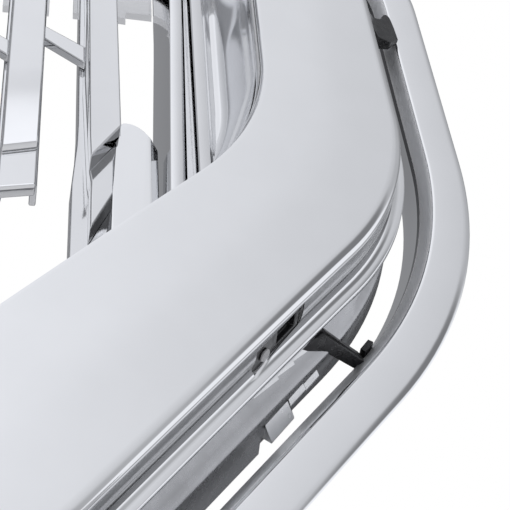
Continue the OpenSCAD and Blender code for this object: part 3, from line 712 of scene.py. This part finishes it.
# ---------------------------------------------------------------- carried-over nodes
CARRY = {"bar_tie_rail": M_BAR, "top_support_rail": M_DARK, "bar_screws": M_SCREW, "carrier_screws": M_SCREW,
         "upper_bracket_left": M_ZINC, "upper_bracket_right": M_ZINC, "bracket_rivets": M_SCREW,
         "side_tab_left": M_DARK, "side_tab_right": M_DARK, "lower_peg_left": M_DARK, "lower_peg_right": M_DARK}
for n, mt in CARRY.items():
    o = frame["nodes"][n]
    o = o if hasattr(o, "material_slots") else bpy.data.objects[n]
    for sl_ in o.material_slots:
        sl_.material = mt

# ---------------------------------------------------------------- stage, light, camera
FLOOR_Z = -0.66
bm = bmesh.new()
bmesh.ops.create_grid(bm, x_segments=8, y_segments=8, size=4.0)
for v in bm.verts:
    v.co.z = FLOOR_Z
me = bpy.data.meshes.new("floor")
bm.to_mesh(me)
bm.free()
floor = bpy.data.objects.new("floor", me)
bpy.context.scene.collection.objects.link(floor)
fm, nt, b = new_mat("pale_floor")
b.inputs["Roughness"].default_value = 0.9
n1 = add_noise(nt, 3.0)
c = ramp(nt, n1.outputs["Fac"], 0.3, 0.7, (0.78, 0.78, 0.785, 1), (0.82, 0.82, 0.825, 1))
nt.links.new(c.outputs["Color"], b.inputs["Base Color"])
me.materials.append(fm)

world = bpy.data.worlds.new("studio")
bpy.context.scene.world = world
world.use_nodes = True
wt = world.node_tree
bg = wt.nodes["Background"]
tc = wt.nodes.new("ShaderNodeTexCoord")
sep = wt.nodes.new("ShaderNodeSeparateXYZ")
wt.links.new(tc.outputs["Generated"], sep.inputs[0])
DIR = tc.outputs["Generated"]


def math_node(op, a, b=None):
    n = wt.nodes.new("ShaderNodeMath")
    n.operation = op
    for i, v in enumerate((a, b)):
        if v is None:
            continue
        if isinstance(v, (int, float)):
            n.inputs[i].default_value = v
        else:
            wt.links.new(v, n.inputs[i])
    return n.outputs[0]


def lobe(prev, axis, a_in, a_out, value, grad=0.0):
    """A soft round card of the studio: value inside a_in degrees of axis, fading out at a_out."""
    n = wt.nodes.new("ShaderNodeVectorMath")
    n.operation = "DOT_PRODUCT"
    wt.links.new(DIR, n.inputs[0])
    n.inputs[1].default_value = Vector(axis).normalized()
    r = wt.nodes.new("ShaderNodeMapRange")
    r.interpolation_type = "SMOOTHSTEP"
    for k, v in (("From Min", math.cos(math.radians(a_out))), ("From Max", math.cos(math.radians(a_in))), ("To Min", 0.0), ("To Max", 1.0)):
        r.inputs[k].default_value = v
    wt.links.new(n.outputs["Value"], r.inputs["Value"])
    val = math_node("ADD", math_node("MULTIPLY", sep.outputs["X"], grad), value)
    d = math_node("SUBTRACT", val, prev)
    return math_node("ADD", prev, math_node("MULTIPLY", d, r.outputs[0]))


env = math_node("ADD", math_node("MULTIPLY", sep.outputs["Z"], 0.05), 0.45)
env = lobe(env, (0, 1, 0.5), 45, 85, 0.27)
env = lobe(env, (-1, 0.1, 0.2), 25, 60, 0.22)
env = lobe(env, (0.99, -0.05, 0.0), 20, 36, 0.95)
env = lobe(env, (0.25, -0.66, 0.70), 27, 37, 0.93, -0.55)
env = lobe(env, (0.05, -1.0, 0.02), 17, 27, 1.15)
env = lobe(env, (0.70, -0.50, 0.40), 5, 14, 0.22)
env = lobe(env, (0.66, 0.71, 0.24), 7, 20, 0.50)
env = lobe(env, (0.33, 0.79, 0.52), 6, 17, 0.06)
lp = wt.nodes.new("ShaderNodeLightPath")
cam_white = math_node("ADD", math_node("MULTIPLY", env, math_node("SUBTRACT", 1.0, lp.outputs["Is Camera Ray"])), lp.outputs["Is Camera Ray"])
tint = wt.nodes.new("ShaderNodeCombineColor")
for ch, k in (("Red", 0.975), ("Green", 0.99), ("Blue", 1.035)):
    seen = math_node("MULTIPLY", env, math_node("SUBTRACT", 1.0, lp.outputs["Is Camera Ray"]))
    wt.links.new(math_node("ADD", math_node("MULTIPLY", seen, k), lp.outputs["Is Camera Ray"]), tint.inputs[ch])
wt.links.new(tint.outputs["Color"], bg.inputs["Color"])
bg.inputs["Strength"].default_value = 1.0


def area(name, loc, target, size, power):
    l = bpy.data.lights.new(name, "AREA")
    l.shape = "RECTANGLE"
    l.size, l.size_y = size
    l.energy = power
    o = bpy.data.objects.new(name, l)
    bpy.context.scene.collection.objects.link(o)
    o.location = loc
    o.rotation_euler = (Vector(target) - Vector(loc)).to_track_quat("-Z", "Y").to_euler()
    return o


k_ = area("key", (-0.6, -1.2, 2.6), (0, 0, 0), (1.6, 1.6), 60)
k_.visible_glossy = False

cam_d = bpy.data.cameras.new("camera")
cam = bpy.data.objects.new("camera", cam_d)
bpy.context.scene.collection.objects.link(cam)
cam_d.sensor_width = 36.0
cam_d.lens = 36.0 * 1500.0 / 510.0
cam_d.clip_start = 0.01
az, el, roll, dist = math.radians(-8), math.radians(-44), math.radians(-5), 583.0
tgt = Vector((267.0, 267.0 ** 2 / 4000.0 + 3 - YC, -60.0 - ZC)) * S
P = Vector((math.sin(az) * math.cos(el), -math.cos(az) * math.cos(el), math.sin(el)))
F = -P
R = F.cross(Vector((0, 0, 1))).normalized()
U = R.cross(F)
R2 = R * math.cos(roll) + U * math.sin(roll)
U2 = U * math.cos(roll) - R * math.sin(roll)
mw = Matrix(((R2.x, U2.x, P.x, 0), (R2.y, U2.y, P.y, 0), (R2.z, U2.z, P.z, 0), (0, 0, 0, 1)))
cam.matrix_world = Matrix.Translation(tgt + P * dist * S) @ mw
bpy.context.scene.camera = cam
bpy.context.scene.view_settings.view_transform = "Standard"

bpy.context.view_layer.update()
